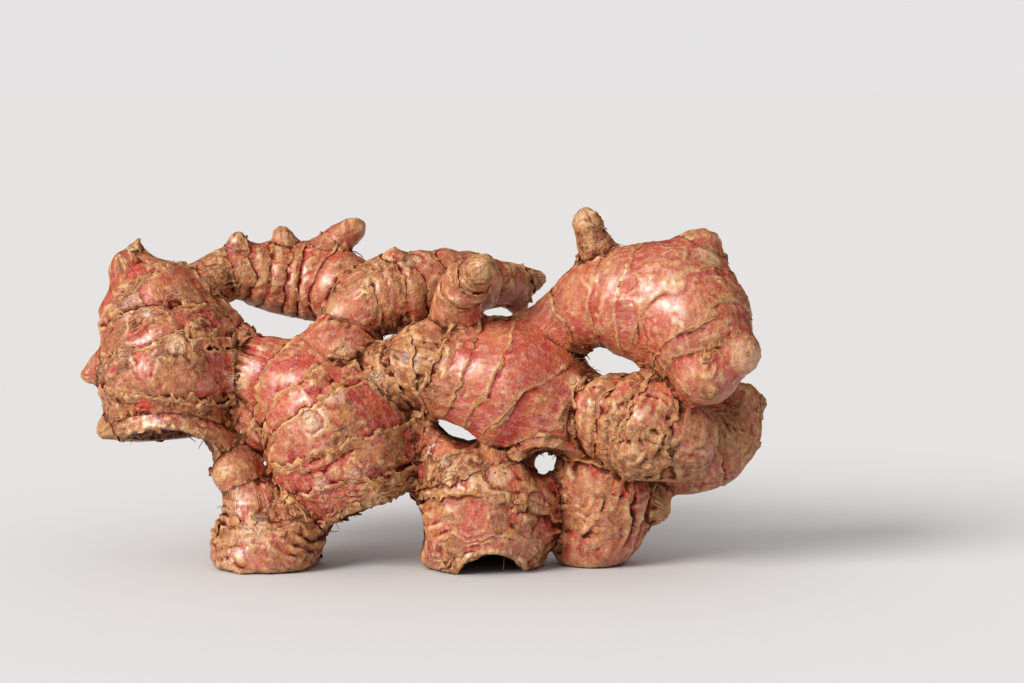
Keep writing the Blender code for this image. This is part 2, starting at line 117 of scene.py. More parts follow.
# Each finger has points along its axis (x, y, z, radius), and may have these:
# depth: how deep it is against its width
# rings: each growth ring's share of the finger's length, and its lean in degrees, seen from the front
# bark: how corky its skin is, all along it or at its start, middle and end
# puff: how much it swells between rings
# wrinkles: how deep they are, their turn from round the finger to along it, in degrees, and their spacing
# arch: the point (x, z) that its wrinkles arch round
# broken: whether its first end is broken off square
# +X is to the right, +Y away from the viewer and +Z up.
FINGERS = {
    "middle_left": dict(
        axis=[(-9.5, -1, 12, 9.7), (-13, 0, 19.5, 13), (-16.5, 1, 26.5, 13.8), (-22, 3, 32, 11),
              (-28.5, 5, 35, 8)],
        depth=0.9, rings=((0.04, 0), (0.17, 10), (0.38, 5), (0.61, 8), (0.77, 12), (0.93, 0)),
        bark=(0.7, 0.35, 0.3), puff=0.35, wrinkles=(0.15, 0, 3), broken=True),
    "middle_left_crown": dict(
        axis=[(-18, 2, 28.5, 10), (-16.5, 4, 36.5, 8.7), (-14.5, 7, 42.5, 6.8), (-13.5, 9, 45.5, 5)],
        depth=0.9, rings=((0.75, 0),), bark=(0.1, 0.1, 0.3)),
    "left": dict(
        axis=[(-45.3, 5, 24.2, 11), (-46, 6, 30.5, 13.4), (-46.2, 7, 37.5, 13.9),
              (-48.6, 9, 43.5, 11.7), (-51.6, 11, 50, 9.7), (-54, 12, 54, 4.8)],
        depth=0.88, rings=((0.2, 8), (0.45, 5), (0.66, 14), (0.84, -12)), bark=(0.85, 0.65, 0.35),
        puff=0.25, wrinkles=(0.15, 0, 2.4), broken=True),
    "left_bridge": dict(
        axis=[(-38.5, 9, 45, 4), (-34, 7, 39, 5), (-32.5, 5, 31, 5), (-29.5, 3, 26, 4.2)],
        rings=((0.3, 0), (0.7, 0)), bark=0.8, wrinkles=(0.5, 30, 2)),
    "upper_left_neck": dict(
        axis=[(-49.5, 10, 46, 8.8), (-44, 13, 49.4, 6), (-39, 15, 52.3, 4.7)], rings=((0.7, 0),),
        bark=0.3),
    "upper_left": dict(
        axis=[(-39.5, 15, 52.8, 4.6), (-35, 17, 53.4, 5.2), (-28.5, 19, 52.4, 6.9),
              (-21, 19, 51.4, 7.4), (-14, 15, 49.5, 6.6), (-10, 10, 47, 5)],
        rings=((0.06, 0), (0.17, 0), (0.28, 5), (0.4, 0), (0.5, -5), (0.66, 0), (0.82, 5)),
        bark=(0.4, 0.12, 0.2), puff=0.6),
    "upper_left_tooth_1": dict(axis=[(-34.5, 17, 55.5, 3.8), (-35.2, 17, 59.4, 2.1)], bark=0.4),
    "upper_left_tooth_2": dict(axis=[(-26.5, 19, 56, 4.4), (-27, 19, 60.2, 2.4)], bark=0.4),
    "upper_left_tooth_3": dict(
        axis=[(-20.5, 19, 54.5, 4.8), (-15.8, 20, 59.8, 3.2), (-13.3, 20, 61.3, 2.2)],
        rings=((0.5, 0),), bark=0.2),
    "upper_middle": dict(
        axis=[(-13.5, 7, 46, 5.5), (-9, 9, 49, 7), (-3.5, 11, 50, 7.6), (2.5, 13, 51, 6.9),
              (8.5, 16, 51.5, 5.9), (14, 20, 51, 4.5), (16.5, 22, 50.5, 4)],
        rings=((0.12, 15), (0.26, 0), (0.38, 0), (0.5, 0), (0.62, 5), (0.8, 0)), bark=(0.4, 0.2, 0.2),
        puff=0.65),
    "upper_middle_bud": dict(axis=[(-5.5, 9, 55, 3.5), (-5.5, 8, 57.5, 2)], bark=0.2),
    "far_tip": dict(
        axis=[(15.5, 22, 51, 4), (20.5, 24, 51.5, 2.3)], rings=((0.5, 0),), bark=(0.3, 0.3, 0.5)),
    "far_tip_spur": dict(axis=[(16, 22, 49.5, 3.5), (17.5, 22, 46.5, 2.3)], bark=0.5),
    "centre_stub": dict(
        axis=[(6, -1, 47.5, 4.5), (7, -4, 52, 4.5), (9.5, -8, 55, 3.5), (11, -11, 56.5, 2.8)],
        rings=((0.35, 0), (0.7, 0)), bark=(0.35, 0.4, 0.9), wrinkles=(0.35, 0, 1.8)),
    "centre_neck": dict(
        axis=[(-7, 2, 34, 8), (-2.5, 1, 37, 6.5), (3, 0, 38, 8)],
        rings=((0.3, 0), (0.7, 0)), bark=(0.7, 0.7, 0.6), wrinkles=(0.7, 20, 2.4)),
    "centre": dict(
        axis=[(1.5, 0, 38, 8.5), (10.5, 0, 35, 11.8), (17.5, 0, 33.5, 12.7), (24, -1, 31.5, 10),
              (30, -1, 29.5, 7.2)],
        depth=0.95, rings=((0.02, 0), (0.19, 2), (0.36, 14), (0.64, 32)), bark=(0.45, 0.05, 0.35),
        puff=0.2),
    "centre_shoulder": dict(axis=[(5, 1, 44, 3.5), (14, 1, 41.5, 5.3), (22, 1, 45, 4.2)], bark=0.3),
    "right_arm": dict(
        axis=[(21, 1, 41.5, 6), (26.5, 0, 46, 6.6), (32, -2, 49.3, 8.5), (39, -5, 49.7, 10.7),
              (45.5, -8, 49, 11.5), (48.8, -12, 45.2, 10.1), (49.8, -14, 41.4, 8.6),
              (50.2, -15.3, 39, 6.6)],
        depth=0.95, rings=((0.18, 5), (0.355, 8), (0.5, 5), (0.74, 0), (0.88, -10), (0.985, 0)),
        bark=(0.3, 0.0, 0.2), puff=0.3),
    "right_arm_bud": dict(axis=[(51.5, -14.5, 43, 5.2), (55.2, -16.8, 42, 4.5)], bark=0.1),
    "right_arm_scar": dict(axis=[(48, -6, 56.5, 6), (50.3, -7, 60, 3.2)], rings=((0.6, 0),), bark=0.5),
    "right_arm_stub": dict(
        axis=[(32, -2, 56.8, 4.2), (30.5, -3, 61, 3.1), (29.4, -4, 64.2, 2.7)],
        rings=((0.2, 0),), bark=(0.6, 0.6, 0.9), wrinkles=(0.5, 0, 1.8)),
    "lower_right": dict(
        axis=[(29, -4, 30.5, 6.5), (34.5, -7, 29.5, 8), (40, -9, 27.5, 9.5), (44.8, -8.5, 26, 8.4)],
        depth=0.9, rings=((0.1, 0), (0.35, 0), (0.6, 0), (0.85, 0)), bark=(0.55, 0.6, 0.7), puff=1.0,
        wrinkles=(1.0, -15, 3.2)),
    "lower_right_nub": dict(axis=[(40, -8.5, 33, 3.7), (41.3, -9, 35.8, 2.9)], bark=1.0),
    "far_right": dict(
        axis=[(39.5, 2, 24, 6.5), (46, 5, 21, 7.8), (52, 7, 22.8, 8.7), (56, 8, 25.3, 7.2),
              (58.3, 8, 30, 4)],
        depth=0.9, rings=((0.3, 0), (0.55, 0), (0.8, 0)), bark=(0.5, 0.35, 0.45),
        wrinkles=(0.3, 10, 2.6)),
    "far_right_spur": dict(axis=[(58, 8, 29.8, 3.2), (62.5, 8, 30, 1.3)], bark=0.6),
    "right_foot": dict(
        axis=[(30.5, 1, 26, 6), (31.7, 1, 19.5, 8), (33.4, 1, 14, 9), (32.5, 1, 8.5, 8),
              (30.6, 1, 3.5, 6.8), (30.3, 1, 0, 5.4)],
        depth=0.95, rings=((0.2, 20),), bark=(0.4, 0.5, 0.7), wrinkles=(1.2, 66, 2.9)),
    "right_foot_bulge": dict(
        axis=[(37.5, 1, 14, 5.8), (42, 0, 12, 3.6)], bark=(0.5, 0.5, 0.6), wrinkles=(0.8, 60, 2.4)),
    "middle_foot_neck": dict(
        axis=[(-1, 1, 27, 5), (2.3, 1, 21.5, 6), (7.5, 0, 18, 9.5)],
        rings=((0.4, 0),), bark=0.8, wrinkles=(0.6, 30, 2.4)),
    "middle_foot": dict(
        axis=[(10.2, 0, 18.5, 10.7), (11.2, -1, 13.5, 12.9), (10.9, -1, 7.5, 13.5), (11.7, 0, 1.5, 11)],
        depth=0.8, rings=((0.12, 0), (0.3, 8)), bark=(0.3, 0.5, 0.8), puff=0.3, wrinkles=(0.4, 0, 2.6),
        arch=(11.5, -3)),
    "left_foot": dict(
        axis=[(-30.5, -1, 11, 6.3), (-30, -1, 8.2, 9.8), (-28, -1, 4.5, 11.6), (-27, 0, 1.5, 8.5)],
        depth=0.8, rings=((0.3, 8),), bark=(0.7, 0.6, 0.7), wrinkles=(1.1, 0, 2.1), arch=(-36.4, -13.7)),
    "left_foot_neck": dict(
        axis=[(-28.5, -1, 9.5, 5.5), (-22.5, -1, 12.5, 5), (-18, 0, 17, 7.5)],
        rings=((0.5, 0),), bark=(0.7, 0.75, 0.7), wrinkles=(0.6, 10, 2)),
    "nut": dict(
        axis=[(-37, 3, 24.5, 4), (-34.7, 2, 22.3, 2.6), (-34, 1, 18.3, 4.9), (-33.6, 1, 14.3, 2.9)],
        rings=((0.25, 0),), bark=(0.4, 0.2, 0.3)),
    "left_lip": dict(
        axis=[(-54.5, -1, 26.6, 1.5), (-50.5, -4, 27.6, 1.6), (-44.5, -5, 27.7, 1.7),
              (-38.5, -3, 26, 1.6), (-35.5, 0, 24, 1.5)],
        bark=0.5),
    "centre_lip": dict(
        axis=[(17, -7, 22.8, 1), (19.5, -8.4, 24.6, 1), (23.5, -8.4, 24.8, 1), (27.5, -6, 22.8, 1)],
        bark=0.5),
    "left_tip": dict(axis=[(-53.8, 11, 54, 2.7), (-54, 11, 57.3, 1.7), (-52.8, 11, 60, 1)], bark=1.0),
    "left_nub": dict(axis=[(-58.5, 6, 36.5, 3.7), (-62, 5, 35.5, 1.7)], bark=(0.6, 0.6, 0.7)),
    "left_heel": dict(
        axis=[(-54, 4, 28, 3.6), (-57.6, 2, 26, 2.4)], bark=(0.7, 0.7, 0.8), wrinkles=(0.6, 0, 2)),
}

# Hollows that broken fingers left, and slits between fingers: centre, half sizes, turns about +Y and +Z in
# degrees, the fingers whose skin is torn round it, and how far its torn layers reach
HOLLOWS = {
    "under_left": ((-46.5, -2, 21), (8, 13, 6), (0, 0), ("left", "left_lip"), 4),
    "under_middle_left": ((-7.5, -2, 7.8), (9.3, 10, 6.6), (0, 0), ("middle_left",), 5),
    "under_centre": ((22.3, -4.5, 20.4), (3.8, 5, 2.7), (0, 0), ("centre", "centre_lip"), 2.5),
    "through_centre": ((21.9, 0, 19.6), (1.5, 20, 2.4), (25, 0), (), 1),
    "under_middle_foot": ((11, -4, 0.8), (5.9, 12, 5), (0, 15), ("middle_foot",), 6),
    "over_middle_foot": ((6.2, 0, 25.8), (5.2, 20, 1.7), (28, 0), (), 1),
}

# Round bud scars on the front and on the back: x, z and radius
FRONT_BUDS = [(-14.5, 41.4, 1.8), (-15.6, 33.7, 2.2), (-8.7, 35.8, 1.8), (-19.5, 29, 1.8),
              (-18.3, 17.7, 1.8),
              (-12.3, 19.7, 1.6), (13.9, 19.2, 2.2), (20.5, 13.8, 1.8), (-33.5, 35.5, 2.6),
              (-1.8, 56.5, 1.8), (44.5, 54.5, 2.2), (-44, 42, 2), (27, 36, 1.7), (-30.2, 9.6, 2.8),
              (50.2, 58.6, 3), (57, 42, 3.8)]
BACK_BUDS = [(-46, 33, 2.4), (-51, 46, 2), (-30, 52, 1.8), (-16, 33, 2.4), (-12, 21, 2),
             (14, 36, 2.4), (22, 30, 1.8), (34, 50, 2.2), (44, 48, 2), (12, 12, 2.2), (52, 23, 2),
             (4, 50, 1.8), (-27, 5, 2)]

# Ends of stubs that a shoot broke away from, with the scar's radius
END_SCARS = {"centre_stub": 2.5, "right_arm_stub": 2.5, "far_tip": 2.1}

END_REACH = 12  # from how far past a stub's end its scar is looked for, in mm

# Relief of a bud scar: its height, and its place and width as shares of the scar's radius
BUD_RIM = (0.1, 0.8, 0.2)
BUD_MOAT = (-0.07, 0.5, 0.16)
BUD_DOME = (0.2, 0, 0.4)
BUD_GROOVE = (-0.06, 1.15, 0.15)

FLAKES = 170
ROOT_HAIRS = 90

# Tufts of root hairs: place, spread and number
TUFTS = [((29.5, -6.5, 39.5), 3, 26), ((-19, -7, 9.5), 4, 14), ((0.5, -5, 24), 3.5, 14),
         ((-34, 0, 24), 3, 8), ((24, -5, 24), 3, 8)]

# Colours, linear
ROSE = (0.5, 0.082, 0.058)
SALMON = (0.54, 0.155, 0.09)
ORANGE = (0.54, 0.2, 0.07)
MAGENTA = (0.34, 0.03, 0.042)
PALE_SKIN = (0.68, 0.46, 0.37)
THIN_BARK = (0.46, 0.205, 0.115)
GOLDEN = (0.53, 0.265, 0.095)
TAN = (0.36, 0.165, 0.085)
BROWN = (0.125, 0.03, 0.007)
STRAW = (0.7, 0.48, 0.27)
# nearly black, painted as shade in the deepest creases
CREVICE_SHADE = (0.022, 0.004, 0.001)
HAIR_TAN = (0.3, 0.15, 0.07)
FLOOR_GREY = (0.606, 0.602, 0.602)

# Patches of colour, each over the ones before it: tint, its most share, the grain of the patches in mm, the
# two values of the noise between which they fade in, and the noise's settings
FRESH_PATCHES = ((SALMON, 1, 7, 0.38, 0.62, dict(detail=2)),
                 (ORANGE, 0.6, 5.5, 0.5, 0.66, dict(distortion=0.6)),
                 (THIN_BARK, 0.4, 6.5, 0.48, 0.64, dict(detail=4, roughness=0.6)),
                 (MAGENTA, 0.6, 4.2, 0.52, 0.68, dict(detail=4)))
BARK_PATCHES = ((THIN_BARK, 1, 2.6, 0.42, 0.6, dict(detail=4)),
                (GOLDEN, 0.75, 1.8, 0.5, 0.66, dict(detail=4)),
                (SALMON, 0.4, 3, 0.55, 0.7, {}))

# Light: a broad lamp at the upper left and an even pale sky
KEY_FROM = (-0.66, -0.56, 0.52)
KEY_STRENGTH = 2.3
KEY_SPREAD = 30
KEY_COLOUR = (1, 0.985, 0.96)
SKY_STRENGTH = 0.57
SKY_COLOUR = (1, 0.985, 0.99)
FLOOR = 40.0  # half the floor's width, in metres

# Camera, in millimetres and degrees
CAMERA_TARGET = (16.21, -2.4, 41.0)
CAMERA_DISTANCE = 437.6
CAMERA_ELEVATION = 6
CAMERA_LENS = 85
CAMERA_SENSOR = 36


def smooth_line(points):
    """A Catmull-Rom curve through given points (x, y, z, radius), sampled about every SAMPLE."""
    points = np.array(points, float)
    ends = np.vstack([2 * points[0] - points[1], points, 2 * points[-1] - points[-2]])
    line = []
    for before, start, end, after in zip(ends, ends[1:], ends[2:], ends[3:]):
        steps = max(2, int(np.linalg.norm(end[:3] - start[:3]) / SAMPLE))
        t = np.arange(steps)[:, None] / steps
        line.append(0.5 * (2 * start + (end - before) * t
                           + (2 * before - 5 * start + 4 * end - after) * t ** 2
                           + (3 * start - before - 3 * end + after) * t ** 3))
    return np.vstack([*line, points[-1:]])


def unit(vectors):
    return vectors / np.maximum(np.linalg.norm(vectors, axis=-1, keepdims=True), 1e-9)


def smoothstep(low, high, value):
    t = np.clip((value - low) / (high - low), 0, 1)
    return t * t * (3 - 2 * t)


class Finger:
    """A finger's axis, in a space stretched along Y where its tube is round, with an untwisted frame."""

    def __init__(self, axis, depth=1.0, rings=(), bark=0.0, puff=PUFF, wrinkles=(0, 0, 1), arch=None,
                 broken=False):
        self.line = smooth_line(axis)
        self.squeeze = np.array((1, depth, 1))
        self.rings = rings
        self.bark = np.broadcast_to(np.array(bark, float), 3)
        self.puff = puff
        self.wrinkled, turn, self.wrinkle_space = wrinkles
        self.wrinkle_turn = math.radians(turn)
        self.arch = arch
        self.broken = broken
        self.radius = self.line[:, 3]
        self.axis = self.line[:, :3] / self.squeeze
        steps = np.linalg.norm(np.diff(self.axis, axis=0), axis=1)
        self.along = np.concatenate([[0], np.cumsum(steps)])
        self.length = self.along[-1]
        self.heading = unit(np.gradient(self.axis, axis=0))
        self.side, self.up = self.frames()

    def frames(self):
        """Two directions across the axis at each of its points, carried along without twisting."""
        side = [unit(np.cross(self.heading[0], (0.3, 1, 0.2)))]
        for heading in self.heading[1:]:
            side.append(unit(side[-1] - heading * (side[-1] @ heading)))
        side = np.array(side)
        return side, np.cross(self.heading, side)

    def bark_at(self, along):
        return np.interp(along / self.length, (0, 0.5, 1), self.bark)

    def across_wrinkles(self, points, along, left):
        """How many of this finger's wrinkles lie between its start and each point."""
        if self.arch:
            return np.hypot(points[:, 0] - self.arch[0], points[:, 2] - self.arch[1]) / self.wrinkle_space
        across = along * math.cos(self.wrinkle_turn) + left * math.sin(self.wrinkle_turn)
        return across / self.wrinkle_space

    def near(self, points):
        """Indices of the points that this finger may shape."""
        real = self.axis * self.squeeze
        margin = self.radius.max() + REACH
        inside = (points > real.min(axis=0) - margin) & (points < real.max(axis=0) + margin)
        return np.flatnonzero(inside.all(axis=1))

    def locate(self, points):
        """For each point, in mm: how far it is outside the tube, how far along the finger it lies, how far
        to the left of the axis as seen from the front, and its place round the finger on an even circle."""
        local = points / self.squeeze
        best = np.full(len(points), np.inf)
        along, radius = np.zeros(len(points)), np.zeros(len(points))
        away, segment = np.zeros_like(points), np.zeros(len(points), int)
        for i, (start, end) in enumerate(zip(self.axis, self.axis[1:])):
            run = end - start
            t = np.clip((local - start) @ run / (run @ run), 0, 1)
            offset = local - start - t[:, None] * run
            distance = np.linalg.norm(offset, axis=1)
            closer = distance < best
            best[closer] = distance[closer]
            along[closer] = (self.along[i] + t * (self.along[i + 1] - self.along[i]))[closer]
            radius[closer] = (self.radius[i] + t * (self.radius[i + 1] - self.radius[i]))[closer]
            away[closer] = offset[closer]
            segment[closer] = i
        heading = self.heading[segment]
        flat = np.maximum(np.hypot(heading[:, 0], heading[:, 2]), 1e-6)
        left = (away[:, 2] * heading[:, 0] - away[:, 0] * heading[:, 2]) / flat
        across = [(away * way[segment]).sum(axis=1) for way in (self.side, self.up)]
        around = unit(np.stack(across, 1)) * self.radius.mean()
        return best - radius, along, left, around

    def at(self, along):
        """Axis point, heading, side, up and radius at a distance along the finger."""
        along = np.clip(along, 0, self.length)
        pick = [np.array([np.interp(along, self.along, column) for column in values.T])
                for values in (self.axis, self.heading, self.side, self.up)]
        return (*pick, np.interp(along, self.along, self.radius))


def lattice_noise(points, size, seed):
    """Smooth noise between -1 and 1 that repeats only every 32 grains."""
    table = 1.3 * np.random.default_rng(seed).uniform(-1, 1, 32 ** 3)
    place = np.asarray(points) / size
    low = np.floor(place).astype(int)
    t = place - low
    t = t * t * (3 - 2 * t)
    weights = [(1 - t[:, axis], t[:, axis]) for axis in range(3)]
    cells = [[(low[:, axis] + step) % 32 * 32 ** axis for step in (0, 1)] for axis in range(3)]
    total = np.zeros(len(place))
    for i, j, k in np.ndindex(2, 2, 2):
        cell = cells[0][i] + cells[1][j] + cells[2][k]
        total += weights[0][i] * weights[1][j] * weights[2][k] * table[cell]
    return total


def fractal(points, size, seed, octaves=3):
    return sum(lattice_noise(points, size / 2 ** k, seed + k) / 2 ** k for k in range(octaves))


def shared_noise(points, size, seed):
    """The same noise as the solid's, so that rings and lumps lie where its are."""
    shift = Vector((seed, 1.7 * seed, 2.3 * seed))
    return np.array([noise.noise(Vector(p) / size + shift) for p in points])


def linked(name, data):
    obj = bpy.data.objects.new(name, data)
    bpy.context.scene.collection.objects.link(obj)
    return obj


def new_mesh(name, verts, faces):
    mesh = bpy.data.meshes.new(name)
    mesh.from_pydata([tuple(v) for v in verts], [], faces)
    mesh.validate()
    return linked(name, mesh)


def bmesh_object(name, bm):
    mesh = bpy.data.meshes.new(name)
    bm.to_mesh(mesh)
    bm.free()
    return linked(name, mesh)


def evaluated_mesh(obj):
    bpy.context.view_layer.update()
    return bpy.data.meshes.new_from_object(obj.evaluated_get(bpy.context.evaluated_depsgraph_get()))


def apply_modifiers(obj):
    mesh = evaluated_mesh(obj)
    obj.modifiers.clear()
    old, obj.data = obj.data, mesh
    bpy.data.meshes.remove(old)
    mesh.name = obj.name


def bevelled_curve(name, resolution):
    """A curve object whose splines become closed tubes, with their points' radii in mm."""
    curve = bpy.data.curves.new(name, "CURVE")
    curve.dimensions = "3D"
    curve.bevel_depth = MM
    curve.bevel_resolution = resolution
    curve.use_fill_caps = True
    return linked(name, curve)


def vertex_array(mesh, attribute="co"):
    values = np.empty(len(mesh.vertices) * 3, np.float32)
    mesh.vertices.foreach_get(attribute, values)
    return values.reshape(-1, 3).astype(float)


def set_vertices(mesh, values):
    mesh.vertices.foreach_set("co", values.astype(np.float32).ravel())
    mesh.update()


def read_attribute(mesh, name):
    values = np.empty(len(mesh.vertices), np.float32)
    mesh.attributes[name].data.foreach_get("value", values)
    return values


def add_attribute(mesh, name, values):
    kind = "FLOAT_VECTOR" if values.ndim == 2 else "FLOAT"
    layer = mesh.attributes.new(name, kind, "POINT")
    layer.data.foreach_set("vector" if values.ndim == 2 else "value", values.astype(np.float32).ravel())


def tube_into(body, finger):
    """Adds a finger's tube, with its round ends, to the body's bmesh."""
    tube = bevelled_curve("tube", 8)
    tube.scale = finger.squeeze
    spline = tube.data.splines.new("POLY")
    spline.points.add(len(finger.line) - 1)
    for point, place, radius in zip(spline.points, finger.axis, finger.radius):
        point.co = (*(place * MM), 1)
        point.radius = radius
    mesh = evaluated_mesh(tube)
    mesh.transform(tube.matrix_world)
    body.from_mesh(mesh)
    bpy.data.meshes.remove(mesh)
    bpy.data.curves.remove(tube.data)
    for end in ((-1,) if finger.broken else (0, -1)):
        made = bmesh.ops.create_icosphere(body, subdivisions=3, radius=finger.radius[end] * MM)
        bmesh.ops.scale(body, vec=finger.squeeze, verts=made["verts"])
        bmesh.ops.translate(body, vec=finger.axis[end] * finger.squeeze * MM, verts=made["verts"])


def fuse(obj):
    remesh = obj.modifiers.new("fuse", "REMESH")
    remesh.mode = "VOXEL"
    remesh.voxel_size = VOXEL * MM
    apply_modifiers(obj)


def cutters():
    made = []
    for name, (centre, half, turns, *_) in HOLLOWS.items():
        bm = bmesh.new()
        bmesh.ops.create_uvsphere(bm, u_segments=48, v_segments=32, radius=MM)
        bmesh.ops.scale(bm, vec=half, verts=bm.verts)
        cutter = bmesh_object(name, bm)
        cutter.location = Vector(centre) * MM
        cutter.rotation_euler = (0, math.radians(turns[0]), math.radians(turns[1]))
        made.append(cutter)
    bm = bmesh.new()
    bmesh.ops.create_cube(bm, size=0.2)
    ground = bmesh_object("ground", bm)
    ground.location.z = STANDING_POINT[2] * MM - 0.1
    return [*made, ground]


def scoop(obj):
    """Cuts the broken ends out, and the feet off level, then removes the cutters."""
    tools = cutters()
    for tool in tools:
        cut = obj.modifiers.new(tool.name, "BOOLEAN")
        cut.operation = "DIFFERENCE"
        cut.solver = "MANIFOLD"
        cut.object = tool
    apply_modifiers(obj)
    for tool in tools:
        bpy.data.objects.remove(tool)


def rough_body(fingers):
    """One smooth closed body with the rhizome's form, and no relief yet."""
    body = bmesh.new()
    for finger in fingers.values():
        tube_into(body, finger)
    obj = bmesh_object("skin", body)
    fuse(obj)
    scoop(obj)
    fuse(obj)
    smooth = obj.modifiers.new("fillets", "SMOOTH")
    smooth.factor = 0.5
    smooth.iterations = FILLET_PASSES
    divide = obj.modifiers.new("divide", "SUBSURF")
    divide.levels = divide.render_levels = DIVISIONS
    apply_modifiers(obj)
    return obj


def overlap(place):
    """A sawtooth between 0 and 1 that climbs slowly and drops fast, like scales that overlap."""
    share = place - np.floor(place)
    return smoothstep(0, 0.8, share) - smoothstep(0.84, 1, share)


def ring_fields(finger, along, left, wander, ragged, strength):
    """Height of the skin by the rings of a finger, masks on the ring's line and on the dry band before it,
    and how far past the last ring a point lies, in mm."""
    if not finger.rings:
        zero = np.zeros(len(along))
        return zero - 0.2, zero, zero, zero + 9
    at = np.array(finger.rings)[:, 0] * finger.length
    lean = np.tan(np.radians(np.array(finger.rings)[:, 1]))
    past = (along + wander + ragged)[:, None] - at - left[:, None] * lean
    behind = np.where(past > 0, past, finger.length).min(axis=1)
    ahead = np.where(past < 0, -past, finger.length).min(axis=1)
    share = behind / (behind + ahead)
    swell = RING_SWELL * (0.67 + finger.puff * (4 * share * (1 - share) - 0.67))
    step = smoothstep(-0.15, 0.15, past)
    rise = (np.exp(np.minimum(past, 0) / RIM_RISE) * (1 - step)).max(axis=1)
    crease = (np.exp(-np.maximum(past, 0) / CREASE_LENGTH) * step).max(axis=1)
    cord = np.exp(-((past + 0.1) / CORD_WIDTH) ** 2).max(axis=1)
    height = swell - RING_SINK + strength * (RIM_HEIGHT * rise - CREASE_DEPTH * crease)
    height += CORD_HEIGHT * cord * (0.4 + 0.6 * strength)
    return height, cord, rise, behind


def jag(points):
    """How far the torn edge of a wholly corky ring strays along the finger, in mm."""
    return JAG * (lattice_noise(points, JAG_SIZE, 35) + 0.4 * lattice_noise(points, JAG_SIZE / 3, 36))


def hump(value, height, at, width):
    return height * np.exp(-((value - at) / width) ** 2)


def bud_places(tree, fingers):
    """Centre and radius of every bud scar, where it lies on the skin."""
    places = []
    for buds, side in ((FRONT_BUDS, -1), (BACK_BUDS, 1)):
        for x, z, radius in buds:
            hit = tree.ray_cast(Vector((x, side * FAR, z)) * MM, Vector((0, -side, 0)))[0]
            places.append((np.array(hit) / MM, radius))
    for name, radius in END_SCARS.items():
        finger = fingers[name]
        tip, before = finger.line[-1, :3], finger.line[-3, :3]
        direction = unit(tip - before)
        hit = tree.ray_cast(Vector(tip + direction * END_REACH) * MM, Vector(-direction))[0]
        places.append((np.array(hit) / MM, radius))
    return places


def bud_fields(points, places):
    """Height of the bud scars, and each point's distance from the nearest one as a share of its radius."""
    nearest = np.full(len(points), 9.0)
    for centre, radius in places:
        nearest = np.minimum(nearest, np.linalg.norm(points - centre, axis=1) / radius)
    nearest += 0.22 * lattice_noise(points, 2.2, 71) + 0.1 * lattice_noise(points, 0.8, 70)
    broken = 0.6 + 0.9 * lattice_noise(points, 2.5, 72)
    height = hump(nearest, *BUD_RIM) * broken + hump(nearest, *BUD_MOAT)
    return height + hump(nearest, *BUD_DOME) + hump(nearest, *BUD_GROOVE), nearest


def hollow_mask(points, normals, owner):
    """1 where the skin is the torn inside of a hollow, and how far outside its rim a point lies, in mm and
    as a share of how far its torn layers reach. Only the finger that broke is torn."""
    inside = np.zeros(len(points))
    outside = np.full(len(points), FAR, float)
    space = np.full(len(points), FAR, float)
    for centre, half, turns, owners, reach in HOLLOWS.values():
        away = points - np.array(centre)
        for axes, degrees in (((0, 1), turns[1]), ((2, 0), turns[0])):
            c, s = math.cos(math.radians(degrees)), math.sin(math.radians(degrees))
            a, b = axes
            away[:, a], away[:, b] = c * away[:, a] + s * away[:, b], c * away[:, b] - s * away[:, a]
        level = np.linalg.norm(away / half, axis=1)
        facing = smoothstep(-0.1, 0.35, -(unit(points - np.array(centre)) * normals).sum(axis=1))
        own = np.isin(owner, owners)
        inside = np.maximum(inside, own * smoothstep(1.18, 1.02, level) * facing)
        distance = np.where(own, (level - 1.05) * np.mean(half), FAR)
        nearer = distance < outside
        outside[nearer] = distance[nearer]
        space[nearer] = reach
    outside = np.where(inside > 0.5, 0, np.maximum(outside, 0))
    return inside, outside, outside / space


def finger_fields(finger, points, wander, fading, jagged, sway):
    """How far each point is outside a finger, its flow coordinates along it, and the finger's own fields
    there: bark, wrinkles, how wrinkled it is, and those of its rings."""
    gap, along, left, around = finger.locate(points)
    bark = finger.bark_at(along)
    strength = np.clip(1.4 * fading - 0.1, 0.1, 1) * (0.25 + 0.75 * bark)
    rings = ring_fields(finger, along, left, wander, (0.15 + bark) * jagged, strength)
    wrinkles = finger.wrinkled * (overlap(finger.across_wrinkles(points, along, left) + sway) - 0.5)
    wrinkled = np.full(len(points), finger.wrinkled)
    return gap, np.column_stack([around, along]), (bark, wrinkles, wrinkled, *rings)


def blend_fingers(fingers, points):
    """For each point: weighted sums of the fingers' relief, cork and ring masks, its flow coordinates along
    the finger it belongs to, and how near it is to a junction with another finger."""
    count = len(points)
    noises = np.stack([
        RING_WANDER * shared_noise(points, WANDER_SIZE, WANDER_SEED),
        0.5 + 0.5 * lattice_noise(points, 6.0, 5),
        jag(points),
        0.8 * lattice_noise(points, 7, 43) + 0.14 * lattice_noise(points, 1.8, 44)])
    closest, runner_up = np.full(count, np.inf), np.full(count, np.inf)
    flow, owner = np.zeros((count, 3)), np.zeros(count, int)
    found = []
    for number, finger in enumerate(fingers.values()):
        index = finger.near(points)
        gap, place, fields = finger_fields(finger, points[index], *noises[:, index])
        found.append((index, gap, fields))
        wins = gap < closest[index]
        runner_up[index] = np.minimum(runner_up[index], np.maximum(closest[index], gap))
        closest[index] = np.minimum(closest[index], gap)
        flow[index[wins]] = place[wins] + (0, 0, FLOW_STEP * number)
        owner[index[wins]] = number
    junction = np.exp(-np.clip(runner_up - closest, 0, None) / JUNCTION_WIDTH)
    return dict(weighted_fields(found, closest), flow=flow, junction=junction,
                owner=np.array(list(fingers))[owner])


